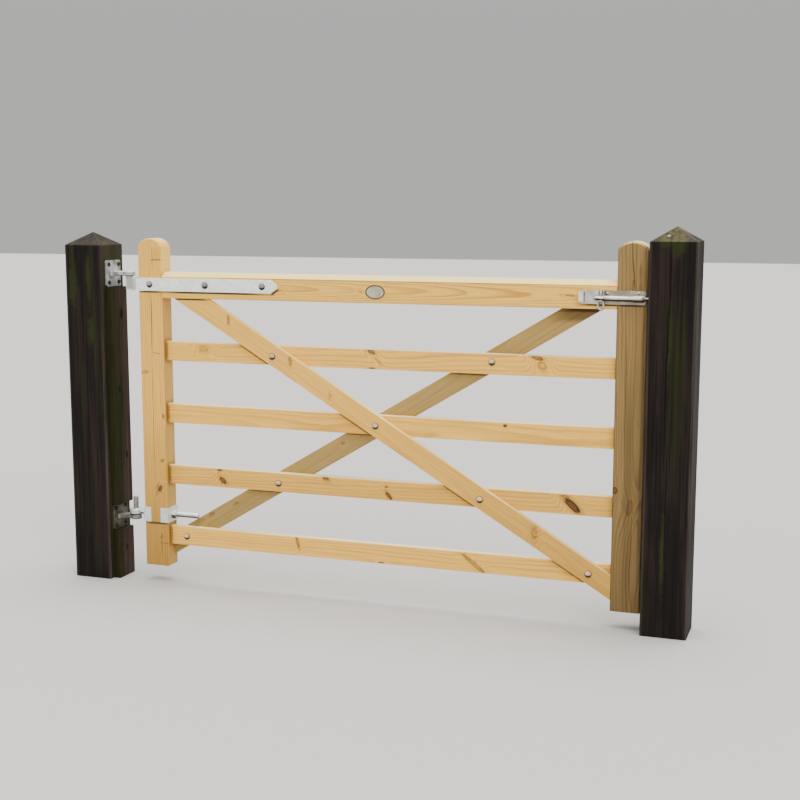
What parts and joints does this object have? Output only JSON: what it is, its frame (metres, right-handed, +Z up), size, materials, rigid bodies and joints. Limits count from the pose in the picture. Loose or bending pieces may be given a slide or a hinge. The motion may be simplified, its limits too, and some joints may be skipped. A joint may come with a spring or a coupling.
{
  "type": "five-bar timber gate with posts",
  "caption": "Timber field gate with cross braces, rounded stiles, double strap hinge, adjustable eye bolt and sliding bolt, hung between two square posts",
  "frame": {"origin": "middle of the hanging post's foot, at ground level", "axes": "+X from the hanging post to the latch post, +Y from the road to the drive, +Z up"},
  "size_m": [2.271, 0.15, 1.3171],
  "materials": {
    "new_timber": "planed softwood, untreated look",
    "new_timber_olive": "planed softwood, darker green-brown board",
    "dark_timber": "dark stained and weathered, with algae",
    "packing_timber": "weathered brown",
    "galvanised_steel": "hot-dip galvanised, dull grey",
    "zinc_plated_steel": "bright zinc plated"
  },
  "bodies": {
    "posts": {"hanging_post": "dark_timber", "latch_post": "dark_timber", "upper_packing": "packing_timber", "lower_packing": "packing_timber", "upper_hook_plate": "galvanised_steel", "upper_hook": "galvanised_steel", "lower_hook_plate": "galvanised_steel", "lower_hook": "galvanised_steel"},
    "gate_leaf": {"hanging_stile": "new_timber", "shutting_stile": "new_timber_olive", "top_rail": "new_timber", "rail_2": "new_timber", "rail_3": "new_timber", "rail_4": "new_timber", "rail_5": "new_timber", "front_brace": "new_timber", "rear_brace": "new_timber_olive", "strap_hinge": "galvanised_steel", "eye_bolt": "galvanised_steel", "outer_saddle": "galvanised_steel", "inner_saddle": "galvanised_steel", "outer_nut": "galvanised_steel", "inner_nut": "galvanised_steel", "latch_plate": "zinc_plated_steel", "latch_guide": "zinc_plated_steel"},
    "latch_bolt": {"latch_bar": "zinc_plated_steel", "latch_handle": "zinc_plated_steel"}
  },
  "joints": [
    {"name": "gate_hinge", "type": "hinge", "parent": "posts", "child": "gate_leaf", "pos_m": [0.147, 0, 0.2415], "axis": [0, 0, 1], "range_deg": [-90, 90]},
    {"name": "bolt_slide", "type": "slide", "parent": "gate_leaf", "child": "latch_bolt", "axis": [-1, 0, 0], "range_m": [0, 0.03]}
  ]
}
